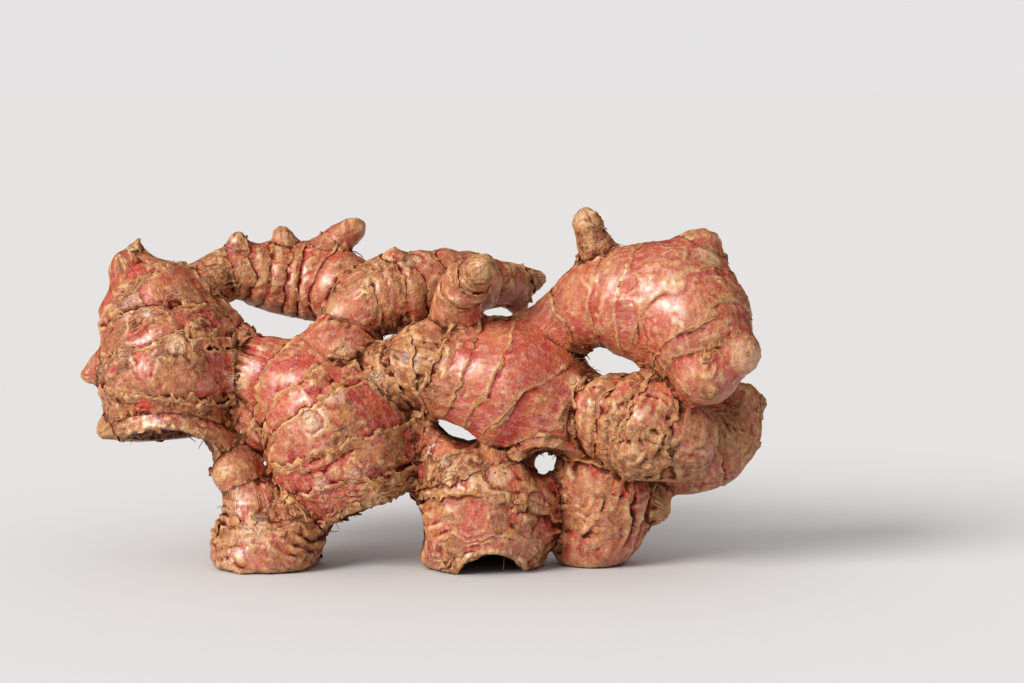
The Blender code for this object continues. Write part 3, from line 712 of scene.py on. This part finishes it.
def weighted_fields(found, closest):
    """The fingers' fields at every point, weighted by how near each finger is."""
    total = np.zeros(len(closest))
    sums = np.zeros((len(FIELDS), len(closest)))
    for index, gap, fields in found:
        weight = np.exp(-(gap - closest[index]) / BLEND)
        total[index] += weight
        for row, field in zip(sums, fields):
            row[index] += weight * field
    return dict(zip(FIELDS, sums / np.maximum(total, 1e-9)))


def cavities(mesh, points, normals):
    """How far each vertex lies below its smoothed surroundings, in mm, near by and farther around: above 0
    in a crease, below 0 on a ridge."""
    edges = np.empty(len(mesh.edges) * 2, np.int32)
    mesh.edges.foreach_get("vertices", edges)
    a, b = edges.reshape(-1, 2).T
    degree = np.bincount(a, minlength=len(points)) + np.bincount(b, minlength=len(points))
    smooth = points.copy()
    found = []
    for step in range(SMOOTHINGS[-1]):
        for axis in range(3):
            pull = sum(np.bincount(to, smooth[other, axis], len(points)) for to, other in ((a, b), (b, a)))
            smooth[:, axis] = 0.2 * smooth[:, axis] + 0.8 * pull / degree
        if step + 1 in SMOOTHINGS:
            found.append(((smooth - points) * normals).sum(axis=1))
    return found


def cork_relief(points, mask):
    """Height of folded, crumpled and peeling cork, and where dry film covers the skin."""
    frayed = mask["band"] * (0.3 + 0.6 * mask["cork"])
    cork = 0.85 * mask["cork"] + 0.5 * frayed + 0.35 * mask["junction"] + 0.25 * fractal(points, 5.0, 17)
    cork = np.clip(cork, 0, 1)
    corky = smoothstep(0.35, 1.0, cork)
    bend = mask["flow"] + (0, 0, 1) * (1.8 * lattice_noise(points, 4.5, 45))[:, None]
    folds = np.abs(lattice_noise(bend / (FOLD_LENGTH, FOLD_LENGTH, FOLD_WIDTH), 1.0, 47)) ** 0.7
    ridges = (1 - np.minimum(np.abs(fractal(bend / (2.6, 2.6, 1), 2.2, 49, 2)), 1)) ** 4
    patch = 0.2 + 0.8 * smoothstep(-0.35, 0.35, fractal(points, PATCH_SIZE, 57, 2) + 0.4 * frayed)
    height = corky * (1 - 0.5 * mask["wrinkled"]) * (FOLD_HEIGHT * (folds - 0.6) + RIDGE_HEIGHT * ridges)
    layers = 1.8 * fractal(bend / (2.4, 2.4, 0.9), 3.2, 53, 2) + 0.12 * lattice_noise(points, 0.7, 61)
    height += FLAKE_STEP * smoothstep(0.2, 0.6, cork) * (np.floor(layers) + smoothstep(0.84, 1, layers % 1))
    broken = smoothstep(-0.45, 0.35, lattice_noise(points, 3.4, 67))
    height = patch * (height + WRINKLE_HEIGHT * broken * mask["wrinkles"])
    film = cork + 0.8 * fractal(bend / (1.4, 1.4, 1), 4.2, 91, 4)
    crust = smoothstep(0.5, 0.6, film)
    height += CRUST_HEIGHT * crust * (0.8 + 0.5 * lattice_noise(points, 1.3, 95))
    return height, cork, crust


def torn_relief(points, normals, owner):
    """Height of the torn layers round each hollow, and where its inside and its rim are."""
    inside, outside, share = hollow_mask(points, normals, owner)
    rim = np.exp(-share ** 2) * (1 - inside)
    wavy = 1.5 * lattice_noise(points, 4.5, 79) + 0.3 * lattice_noise(points, 0.9, 80)
    layers = wavy - outside / RIM_SPACE
    broken = smoothstep(-0.3, 0.5, lattice_noise(points, 3.0, 81))
    height = rim * (RIM_LAYER * broken * overlap(layers) + 0.4 * np.exp(-((outside - 0.9) / 0.7) ** 2))
    fibres = fractal(points / (1, 1, 2.5), 0.9, 73, 2)
    return height + inside * (0.45 * fibres - 0.2), inside, rim


def raise_relief(obj, fingers):
    """Raises the real skin's relief from the body, and leaves the masks that its material reads."""
    mesh = obj.data
    points, normals = vertex_array(mesh) / MM, vertex_array(mesh, "normal")
    tree = BVHTree.FromObject(obj, bpy.context.evaluated_depsgraph_get())
    mask = blend_fingers(fingers, points)
    flow, flat = mask["flow"], normals[:, 2] < -0.9
    dry, cork, crust = cork_relief(points, mask)
    height = mask["height"] + dry + LUMP_HEIGHT * shared_noise(points, LUMP_SIZE, LUMP_SEED)
    height += STREAK_HEIGHT * (0.3 + 0.9 * cork) * fractal(flow / (0.9, 0.9, 6.0), 1.0, 29, 2)
    scars, bud = bud_fields(points, bud_places(tree, fingers))
    near_bud = smoothstep(1.45, 1.1, bud)
    height = height * (1 - 0.75 * near_bud) + scars
    torn, inside, rim = torn_relief(points, normals, mask["owner"])
    height = height * (1 - inside) * (1 - 0.6 * rim) + torn
    height[flat] = 0
    moved = points + normals * height[:, None] - STANDING_POINT
    moved[:, 2] = np.maximum(moved[:, 2], 0)
    set_vertices(mesh, moved * MM)
    near, far = cavities(mesh, moved, vertex_array(mesh, "normal"))
    masks = dict(cork=cork, crust=crust, cord=np.clip(mask["cord"], 0, 1), band=mask["band"],
                 behind=mask["behind"], bud=bud, inside=inside, rim=rim, cavity=near, hollow=far, flow=flow)
    for name, values in masks.items():
        add_attribute(mesh, name, values)


def thin_out(obj, triangles):
    thin = obj.modifiers.new("thin out", "DECIMATE")
    thin.ratio = triangles / (2 * len(obj.data.polygons))
    thin.use_collapse_triangulate = True
    apply_modifiers(obj)


def make_skin(fingers):
    skin = rough_body(fingers)
    raise_relief(skin, fingers)
    thin_out(skin, SKIN_TRIANGLES)
    skin.data.shade_smooth()
    return skin


class Graph:
    """Builds a material's nodes in few words."""

    def __init__(self, name):
        self.material = bpy.data.materials.new(name)
        self.material.use_nodes = True
        self.tree = self.material.node_tree
        self.shader = self.tree.nodes["Principled BSDF"]
        place = self.add("ShaderNodeTexCoord").outputs["Object"]
        self.place = self.scaled(place, (1000, 1000, 1000))

    def add(self, kind, **settings):
        node = self.tree.nodes.new(kind)
        for key, value in settings.items():
            setattr(node, key, value)
        return node

    def feed(self, socket, value):
        if isinstance(value, bpy.types.NodeSocket):
            self.tree.links.new(value, socket)
        elif socket.type == "RGBA":
            socket.default_value = (*value, 1)
        else:
            socket.default_value = value

    def scaled(self, vector, factors):
        node = self.add("ShaderNodeVectorMath", operation="MULTIPLY")
        self.feed(node.inputs[0], vector)
        self.feed(node.inputs[1], factors)
        return node.outputs[0]

    def attribute(self, name, output="Fac"):
        return self.add("ShaderNodeAttribute", attribute_name=name).outputs[output]

    def noise(self, size, vector=None, detail=3.0, roughness=0.55, distortion=0.0):
        """Noise between 0 and 1 with a grain of that many millimetres."""
        node = self.add("ShaderNodeTexNoise")
        self.feed(node.inputs["Vector"], vector or self.place)
        for key, value in (("Scale", 1 / size), ("Detail", detail), ("Roughness", roughness),
                           ("Distortion", distortion)):
            self.feed(node.inputs[key], value)
        return node.outputs["Fac"]

    def math(self, operation, a, b=0.0, clamp=False):
        node = self.add("ShaderNodeMath", operation=operation, use_clamp=clamp)
        self.feed(node.inputs[0], a)
        self.feed(node.inputs[1], b)
        return node.outputs[0]

    def product(self, a, b):
        return self.math("MULTIPLY", a, b)

    def fade(self, value, low, high, start=0.0, end=1.0):
        """Goes smoothly from start to end as the value goes from low to high."""
        node = self.add("ShaderNodeMapRange", interpolation_type="SMOOTHSTEP")
        for key, number in (("Value", value), ("From Min", low), ("From Max", high), ("To Min", start),
                            ("To Max", end)):
            self.feed(node.inputs[key], number)
        return node.outputs["Result"]

    def patches(self, size, low, high, **noise):
        """Patches of that grain: 0 where the noise is under the low value, 1 where it is over the high."""
        return self.fade(self.noise(size, **noise), low, high)

    def mix(self, share, a, b):
        node = self.add("ShaderNodeMix", data_type="RGBA")
        self.feed(node.inputs["Factor"], share)
        self.feed(node.inputs[6], a)
        self.feed(node.inputs[7], b)
        return node.outputs[2]

    def layers(self, colour, *layers):
        """Lays tints over a colour in turn, each where its mask is, at most by its share."""
        for tint, mask, most in layers:
            colour = self.mix(self.product(mask, most), colour, tint)
        return colour

    def bump(self, height, distance, normal=None):
        node = self.add("ShaderNodeBump")
        self.feed(node.inputs["Height"], height)
        self.feed(node.inputs["Distance"], distance * MM)
        if normal:
            self.feed(node.inputs["Normal"], normal)
        return node.outputs["Normal"]

    def set(self, **sockets):
        for key, value in sockets.items():
            self.feed(self.shader.inputs[key.replace("_", " ")], value)


def patched(g, colour, patches):
    return g.layers(colour, *((tint, g.patches(size, low, high, **noise), share)
                              for tint, share, size, low, high, noise in patches))


def fresh_colour(g, streaks, fine):
    """Moist skin: rose to salmon, and magenta where it has just come out from under a ring."""
    young = g.product(g.fade(g.attribute("behind"), 4.0, 0.4), g.patches(3.0, 0.4, 0.62))
    return g.layers(patched(g, ROSE, FRESH_PATCHES), (MAGENTA, young, 0.6),
                    (PALE_SKIN, g.fade(streaks, 0.48, 0.72), 0.3),
                    (PALE_SKIN, g.fade(fine, 0.5, 0.7), 0.45))


def bark_colour(g, flow, fine):
    dark = g.patches(1.5, 0.53, 0.66, vector=g.scaled(flow, (0.5, 0.5, 1)), detail=5, roughness=0.75)
    return g.layers(patched(g, TAN, BARK_PATCHES), (BROWN, dark, 0.7),
                    (PALE_SKIN, g.fade(fine, 0.5, 0.7), 0.4))


def spotted(g, colour, flow, cork):
    """Adds brown flecks, more of them on cork, and small straw specks."""
    fleck = g.patches(0.9, 0.54, 0.66, vector=g.scaled(flow, (1.5, 1.5, 0.8)), detail=4, roughness=0.75)
    return g.layers(colour, (BROWN, g.product(fleck, g.fade(cork, 0.0, 0.6, 0.3, 0.9)), 0.7),
                    (STRAW, g.patches(0.6, 0.57, 0.7, detail=2), 0.25))


def ringed(g, colour):
    """Adds the dry band before each ring, and the pale line along it."""
    band = g.product(g.attribute("band"), g.patches(2.6, 0.4, 0.55, detail=4, roughness=0.65))
    cord = g.product(g.attribute("cord"), g.patches(4.0, 0.3, 0.5))
    return g.layers(colour, (g.mix(g.patches(1.1, 0.42, 0.6), TAN, GOLDEN), g.fade(band, 0.3, 0.8), 0.65),
                    (STRAW, g.fade(cord, 0.25, 0.9), 0.35))


def scarred(g, colour, fine):
    """Adds the pale bud scars with their brown middles."""
    uneven = g.product(g.math("SUBTRACT", g.noise(1.2), 0.5), 1.6)
    bud = g.math("ADD", g.attribute("bud"), uneven)
    scar = g.mix(g.fade(fine, 0.4, 0.6), PALE_SKIN, STRAW)
    return g.layers(colour, (scar, g.fade(bud, 1.1, 0.5), 0.7), (BROWN, g.fade(bud, 0.16, 0.04), 1))


def paint_ridge_highlight_and_crease_shade(g, colour, cavity, hollow):
    """Paints light and shade into the colour: pale straw to golden on ridges as a painted highlight, and
    brown in the near and the broad far creases, nearly black in the deepest, as painted shade.
    """
    ridge = g.mix(g.patches(1.6, 0.4, 0.6), STRAW, GOLDEN)
    return g.layers(colour, (ridge, g.fade(cavity, -0.02, -0.12), 0.75),
                    (BROWN, g.fade(hollow, 0.1, 0.6), 0.85), (BROWN, g.fade(cavity, 0.04, 0.14), 0.9),
                    (CREVICE_SHADE, g.fade(cavity, 0.15, 0.35), 1))


def torn(g, colour, cavity):
    """Adds the fibrous colour of the broken ends."""
    fibre = g.noise(0.9, g.scaled(g.place, (1, 1, 0.35)), 4)
    rim = g.product(g.attribute("rim"), g.fade(cavity, 0.08, -0.08))
    return g.layers(colour, (g.mix(g.fade(fibre, 0.4, 0.65), TAN, STRAW), rim, 0.8),
                    (g.mix(g.fade(fibre, 0.35, 0.7), BROWN, TAN), g.attribute("inside"), 1))


def skin_gloss(g, crust, hollow, grain):
    """Roughness and coat: moist skin shines, and dry bark and the deep gaps don't."""
    uneven = g.product(g.math("SUBTRACT", grain, 0.5), 0.2)
    rough = g.math("ADD", g.fade(crust, 0, 1, 0.45, 0.6), uneven, clamp=True)
    coat = g.product(g.fade(hollow, 0.08, -0.1, 0.0, 0.9), g.fade(crust, 0.0, 1.0, 1.0, 0.45))
    speckle = g.fade(g.noise(1.2, detail=4, roughness=0.7), 0.4, 0.6, 0.5, 1.0)
    return rough, g.product(coat, speckle)


def skin_material():
    g = Graph("red_ginger_skin")
    flow = g.attribute("flow", "Vector")
    cork, crust, cavity, hollow = (g.attribute(name) for name in ("cork", "crust", "cavity", "hollow"))
    streaks = g.noise(1.0, g.scaled(flow, (1.6, 1.6, 0.25)), 3)
    fine, grain = g.noise(1.3, detail=4, roughness=0.65), g.noise(0.42, detail=2)
    wrinkled = g.noise(2.2, g.scaled(flow, (0.8, 0.8, 1.5)), 4, 0.6, 0.4)
    crack = g.fade(g.math("ABSOLUTE", g.math("SUBTRACT", wrinkled, 0.5)), 0.022, 0.004)
    crack = g.product(crack, g.fade(cork, 0.4, 0.9))

    bark = (bark_colour(g, flow, fine), crust, g.fade(cork, 0.1, 0.7, 0.5, 0.9))
    colour = g.layers(fresh_colour(g, streaks, fine), bark, (BROWN, crack, 0.4))
    colour = ringed(g, spotted(g, colour, flow, cork))
    # painted highlight on the ridges and painted shade in the creases and where fingers meet
    colour = paint_ridge_highlight_and_crease_shade(g, scarred(g, colour, fine), cavity, hollow)
    colour = torn(g, colour, cavity)

    rough, coat = skin_gloss(g, crust, hollow, grain)
    normal = g.bump(g.math("SUBTRACT", fine, crack), 0.32, g.bump(grain, 0.25))
    normal = g.bump(streaks, 0.06, g.bump(g.product(wrinkled, cork), 0.6, normal))
    g.set(Base_Color=colour, Roughness=rough, Normal=normal, Coat_Weight=coat, Coat_Roughness=0.36,
          Coat_IOR=1.9, Specular_IOR_Level=0.35, Subsurface_Weight=0.1,
          Subsurface_Radius=(1.0, 0.35, 0.2), Subsurface_Scale=1.2 * MM)
    return g.material


def paper_material():
    """Dry scale: golden to tan, paler towards the torn edge, with brown spots."""
    g = Graph("dry_scale")
    colour = g.mix(g.patches(1.6, 0.4, 0.6), TAN, THIN_BARK)
    pale = g.product(g.fade(g.attribute("edge"), 0.3, 0.9), g.patches(1.1, 0.35, 0.55))
    colour = g.layers(colour, (GOLDEN, g.patches(2.4, 0.45, 0.6), 0.6), (STRAW, pale, 0.5),
                      (BROWN, g.patches(0.8, 0.54, 0.66), 0.5))
    g.set(Base_Color=colour, Roughness=0.5, Normal=g.bump(g.noise(0.5), 0.15), Subsurface_Weight=0.1,
          Subsurface_Scale=0.8 * MM)
    return g.material


def hair_material():
    g = Graph("root_hair")
    g.set(Base_Color=g.mix(g.noise(2.0), BROWN, HAIR_TAN), Roughness=0.65)
    return g.material


def floor_material():
    g = Graph("studio_white")
    g.set(Base_Color=FLOOR_GREY, Roughness=1.0, Specular_IOR_Level=0.0)
    return g.material


def scale_strip(finger, share, lean, tree, rng, out):
    """Adds the papery edge of one ring: rows of points across it, where the skin is the finger's own."""
    verts, faces, edge = out
    middle = share * finger.length
    centre, heading, side, up, radius = finger.at(middle)
    count = max(24, int(2 * math.pi * radius / SCALE_STEP))
    shift = rng.uniform(0, 90)
    flat = max(math.hypot(heading[0], heading[2]), 1e-6)
    bark = finger.bark_at(middle)
    angles = np.arange(count + 1) * 2 * math.pi / count
    spokes = np.cos(angles)[:, None] * side + np.sin(angles)[:, None] * up
    places = (centre + spokes * radius) * finger.squeeze
    left = radius * (spokes[:, 2] * heading[0] - spokes[:, 0] * heading[2]) / flat
    rings = middle + left * math.tan(math.radians(lean)) - (0.15 + bark) * jag(places)
    rings -= RING_WANDER * shared_noise(places, WANDER_SIZE, WANDER_SEED)
    ragged = fractal(places + shift, 1.5, 61, 2)
    slow = lattice_noise(places + shift, 3.4, 62)
    previous = None
    for k, spoke in enumerate(spokes):
        row = None
        if slow[k] > PAPER_GAPS - bark:
            row = strip_row(finger, rings[k], spoke, radius, heading, ragged[k], slow[k], bark, tree)
        if row is None:
            previous = None
            continue
        start = len(verts)
        verts.extend(row)
        edge.extend((0, 0.3, 0.6, 1))
        if previous is not None:
            faces.extend((previous + i, start + i, start + i + 1, previous + i + 1) for i in range(3))
        previous = start


def strip_row(finger, ring, spoke, radius, heading, ragged, slow, bark, tree):
    """Four points from the older side of a ring over its edge, or None where another finger covers it."""
    row, normal = [], None
    direction = unit(spoke * finger.squeeze)
    expected = radius * np.linalg.norm(spoke * finger.squeeze) - radius * 0.5
    for offset, lift in PAPER_ROWS:
        begin = finger.at(ring + offset)[0] * finger.squeeze + direction * radius * 0.5
        hit, normal, _, distance = tree.ray_cast(Vector(begin - STANDING_POINT) * MM, Vector(direction))
        if hit is None or abs(distance / MM - expected) > PAPER_MISS:
            return None
        row.append(np.array(hit) / MM + np.array(normal) * lift)
    reach = 0.1 + bark * (0.35 + 0.6 * slow) + (0.2 + 0.9 * bark) * ragged
    curl = 0.03 + 0.5 * bark * (0.35 + 0.9 * slow + 0.7 * ragged)
    forward = unit(heading * finger.squeeze)
    row.append(row[-1] + forward * max(reach, 0.04) + np.array(normal) * max(curl, 0.02))
    return row


def ring_scales(fingers, tree):
    rng = np.random.default_rng(7)
    out = ([], [], [])
    for finger in fingers.values():
        for share, lean in finger.rings:
            scale_strip(finger, share, lean, tree, rng, out)
    return sheet_piece("ring_scales", *out)


def sheet_piece(name, verts, faces, edge):
    """A thin shell of paper from its middle surface, with the edge mask that its material reads."""
    used = sorted({i for face in faces for i in face})
    renumber = {old: new for new, old in enumerate(used)}
    faces = [tuple(renumber[i] for i in face) for face in faces]
    obj = new_mesh(name, np.array(verts)[used] * MM, faces)
    add_attribute(obj.data, "edge", np.array(edge, float)[used])
    shell = obj.modifiers.new("thickness", "SOLIDIFY")
    shell.thickness = PAPER_THICKNESS * MM
    shell.offset = 0
    apply_modifiers(obj)
    obj.data.shade_smooth()
    return obj


def flakes(skin, tree, count):
    """Curled scraps of peeling cork, more of them where the skin is corkier."""
    rng = np.random.default_rng(19)
    points, normals = vertex_array(skin.data) / MM, vertex_array(skin.data, "normal")
    cork, inside, rim, cavity = (read_attribute(skin.data, name)
                                 for name in ("cork", "inside", "rim", "cavity"))
    chance = np.clip(cork - 0.35, 0, 1) * (0.05 + (cavity > 0.05)) + 0.5 * rim ** 4
    chance *= (inside < 0.2) * (points[:, 2] > 1.5)
    centres = np.array([hollow[0] for hollow in HOLLOWS.values()]) - STANDING_POINT
    verts, faces, edge = [], [], []
    for vertex in rng.choice(len(points), count, replace=False, p=chance / chance.sum()):
        to_hollow = centres - points[vertex]
        pull = to_hollow[np.linalg.norm(to_hollow, axis=1).argmin()]
        lean = rng.normal(size=3) + 4 * rim[vertex] * unit(pull)
        size = 1 + 0.8 * rim[vertex]
        one_flake(points[vertex], normals[vertex], lean, size, tree, rng, (verts, faces, edge))
    return sheet_piece("flakes", verts, faces, edge)


def one_flake(centre, normal, lean, size, tree, rng, out):
    """One scrap that points the way it leans, and lies on the skin until its free end curls up."""
    verts, faces, edge = out
    forward = unit(lean - normal * (lean @ normal))
    side = np.cross(normal, forward)
    length, width = size * rng.uniform(0.7, 1.9), size * rng.uniform(0.6, 1.8)
    curl = size * rng.uniform(0.1, 0.5)
    rows, columns = 5, 5
    start = len(verts)
    for i in range(rows):
        v = i / (rows - 1)
        half = width / 2 * (1 - 0.75 * v * v) * rng.uniform(0.6, 1.2)
        for j in range(columns):
            u = 2 * j / (columns - 1) - 1
            forth, across = length * v + rng.normal(0, 0.06), u * half + rng.normal(0, 0.05)
            hit, slope, _, _ = tree.find_nearest(Vector(centre + forward * forth + side * across) * MM)
            lift = -0.08 + 0.12 * min(v * 3, 1) + curl * v * v
            verts.append(np.array(hit) / MM + np.array(slope) * lift)
            edge.append(v)
    for i, j in np.ndindex(rows - 1, columns - 1):
        a = start + i * columns + j
        faces.append((a, a + 1, a + columns + 1, a + columns))


def root_hairs(skin, count):
    """Fine dry roots that grow out of the creases and the undersides."""
    rng = np.random.default_rng(31)
    points, normals = vertex_array(skin.data) / MM, vertex_array(skin.data, "normal")
    depth = read_attribute(skin.data, "cavity")
    chance = np.clip(depth - 0.12, 0, 0.5) * (points[:, 2] > 3) * (1.3 - normals[:, 2])
    guide = bevelled_curve("root_hair_curves", 1)
    spots = list(rng.choice(len(points), count, replace=False, p=chance / chance.sum()))
    for place, spread, hairs in TUFTS:
        near = np.flatnonzero(np.linalg.norm(points + STANDING_POINT - place, axis=1) < spread)
        spots.extend(rng.choice(near, min(hairs, len(near)), replace=False))
    for vertex in spots:
        add_hair(guide.data, points[vertex], normals[vertex], rng)
    hairs = linked("root_hairs", evaluated_mesh(guide))
    bpy.data.objects.remove(guide)
    hairs.data.shade_smooth()
    return hairs


def add_hair(curve, place, normal, rng):
    steps, stride = int(rng.integers(5, 9)), rng.uniform(0.3, 0.6)
    heading = unit(normal + rng.normal(0, 0.45, 3))
    thickness = rng.uniform(0.06, 0.13)
    spline = curve.splines.new("POLY")
    spline.points.add(steps - 1)
    place = place - normal * 0.4
    for k, point in enumerate(spline.points):
        point.co = (*(place * MM), 1)
        point.radius = thickness * (1 - 0.6 * k / steps)
        heading = unit(heading + rng.normal(0, 0.3, 3) + (0, 0, -0.08))
        place = place + heading * stride


def keep_inside(obj, box):
    """Holds a piece inside the solid's box, give or take the slack, and above the floor."""
    low, high = (np.array(corner) for corner in box)
    low, high = low - SLACK * MM, high + SLACK * MM
    low[2] = 0
    set_vertices(obj.data, np.clip(vertex_array(obj.data), low, high))


def dress(obj, material):
    obj.data.materials.clear()
    obj.data.materials.append(material)
    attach(obj, "root")


def studio():
    """A pale floor out to the horizon. Lit as it is, it comes out as bright as the even sky behind it."""
    floor = new_mesh("studio_floor", [(-FLOOR, -FLOOR, 0), (FLOOR, -FLOOR, 0), (FLOOR, FLOOR, 0),
                                      (-FLOOR, FLOOR, 0)], [(0, 1, 2, 3)])
    floor.data.materials.append(floor_material())


def lighting():
    data = bpy.data.lights.new("key", "SUN")
    data.energy = KEY_STRENGTH
    data.angle = math.radians(KEY_SPREAD)
    data.color = KEY_COLOUR
    linked("key", data).rotation_euler = (-Vector(KEY_FROM)).to_track_quat("-Z", "Y").to_euler()
    world = bpy.data.worlds.new("studio_world")
    world.use_nodes = True
    sky = world.node_tree.nodes["Background"]
    sky.inputs["Color"].default_value = (*SKY_COLOUR, 1)
    sky.inputs["Strength"].default_value = SKY_STRENGTH
    world.cycles_visibility.glossy = False
    bpy.context.scene.world = world


def camera():
    data = bpy.data.cameras.new("camera")
    data.lens = CAMERA_LENS
    data.sensor_width = CAMERA_SENSOR
    data.clip_start = 0.01
    obj = linked("camera", data)
    tilt = math.radians(CAMERA_ELEVATION)
    arm = Vector((0, -math.cos(tilt), math.sin(tilt))) * CAMERA_DISTANCE
    obj.location = (Vector(CAMERA_TARGET) + arm) * MM
    obj.rotation_euler = (-arm).to_track_quat("-Z", "Y").to_euler()
    bpy.context.scene.camera = obj


def build():
    fingers = {name: Finger(**finger) for name, finger in FINGERS.items()}
    skin = make_skin(fingers)
    tree = BVHTree.FromObject(skin, bpy.context.evaluated_depsgraph_get())
    paper = paper_material()
    pieces = [(skin, skin_material()), (ring_scales(fingers, tree), paper),
              (flakes(skin, tree, FLAKES), paper), (root_hairs(skin, ROOT_HAIRS), hair_material())]
    for piece, material in pieces:
        keep_inside(piece, cad_box)
        dress(piece, material)
    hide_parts("rhizome")


build()
studio()
lighting()
camera()
bpy.context.scene.view_settings.view_transform = "Standard"
bpy.context.scene.view_settings.look = "High Contrast"
bpy.context.view_layer.update()
